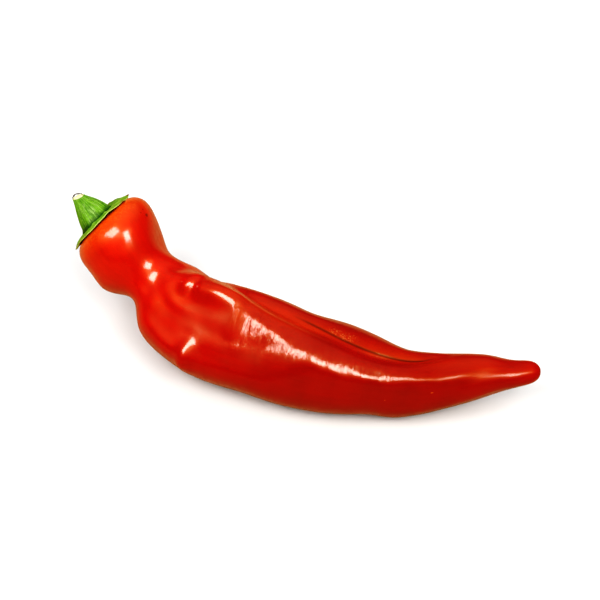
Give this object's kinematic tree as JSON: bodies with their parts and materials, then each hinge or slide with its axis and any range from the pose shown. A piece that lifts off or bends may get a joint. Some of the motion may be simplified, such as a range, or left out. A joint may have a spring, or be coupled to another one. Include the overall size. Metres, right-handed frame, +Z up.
{
  "type": "sweet pointed pepper",
  "caption": "Whole red sweet pointed pepper, curved, lying on its belly with its head and tip raised; green calyx and cut stem.",
  "frame": {"origin": "middle of the pepper's outline on the surface that it lies on", "axes": "+X from the stem to the tip, -Y to the front lobe, +Z up from the surface"},
  "size_m": [0.1942, 0.059, 0.0538],
  "materials": {
    "skin": "smooth waxy skin, deep red, orange-red at the head, glossy with fine wrinkles",
    "calyx": "leaf green, satin, with a pale thin rim",
    "stem": "bright green, ribbed and satin, with a pale cut end"
  },
  "bodies": {
    "root": {"fruit": "skin", "calyx": "calyx", "stem": "stem"}
  },
  "joints": []
}
